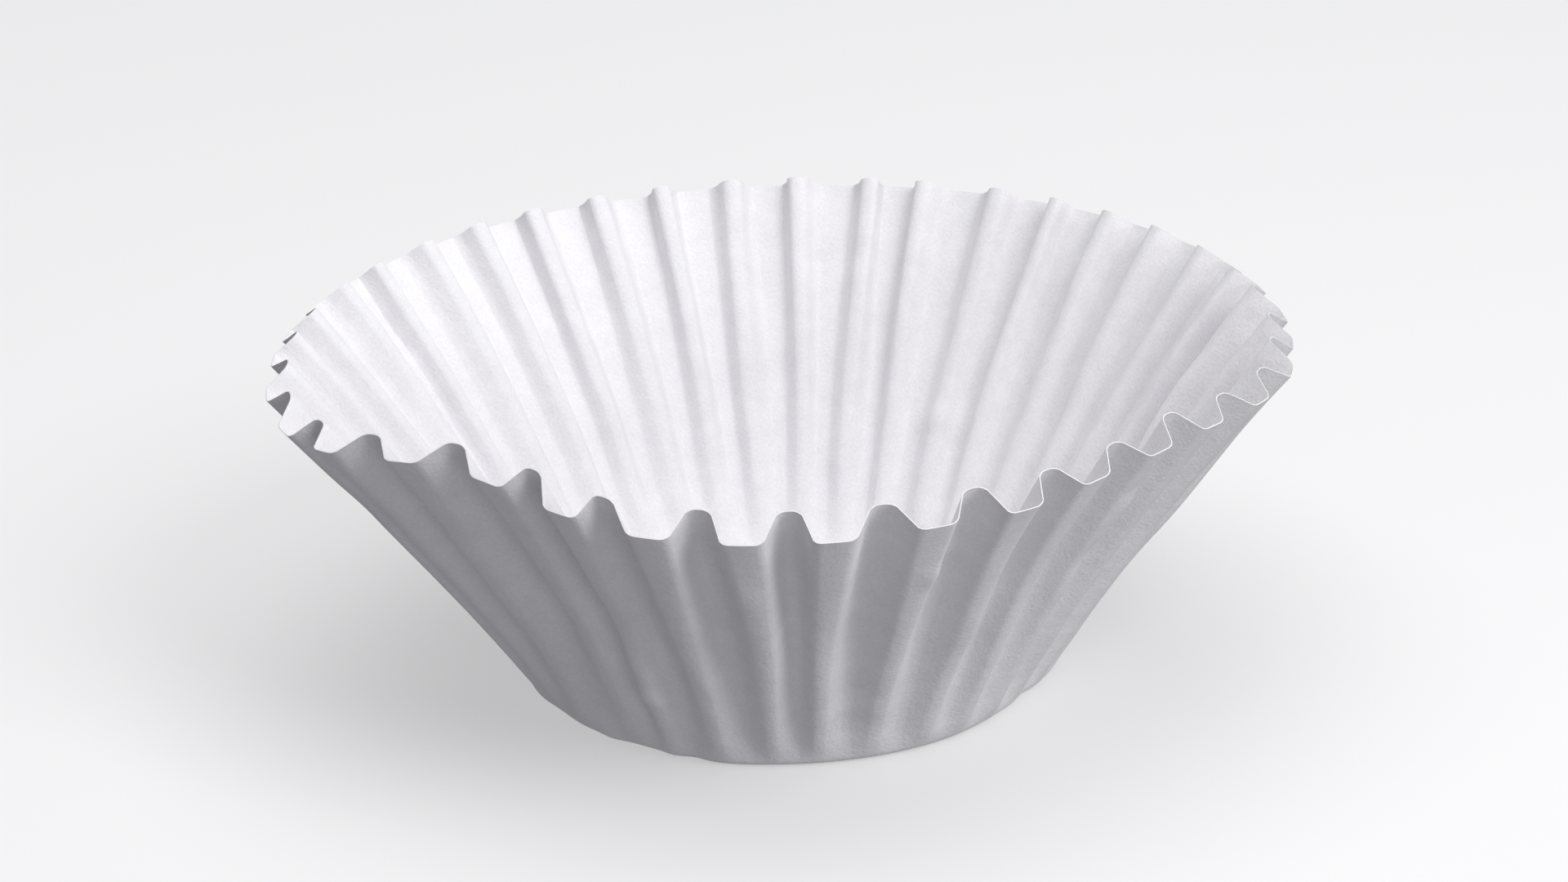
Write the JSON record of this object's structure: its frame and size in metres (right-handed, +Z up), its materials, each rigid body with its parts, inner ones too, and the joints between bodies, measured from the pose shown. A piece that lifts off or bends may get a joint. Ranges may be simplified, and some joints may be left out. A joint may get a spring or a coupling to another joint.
{
  "type": "paper coffee filter",
  "caption": "Basket coffee filter: a disc of thin paper with a flat round base and a flaring wall pressed into flutes, open at the top.",
  "frame": {"origin": "centre of the flat base's underside", "axes": "+Z up through the open mouth, front towards -Y"},
  "size_m": [0.1576, 0.1563, 0.0574],
  "materials": {
    "filter_paper": "bleached filter paper, matt, with a fine crepe"
  },
  "bodies": {
    "root": {"paper_filter": "filter_paper"}
  },
  "joints": []
}
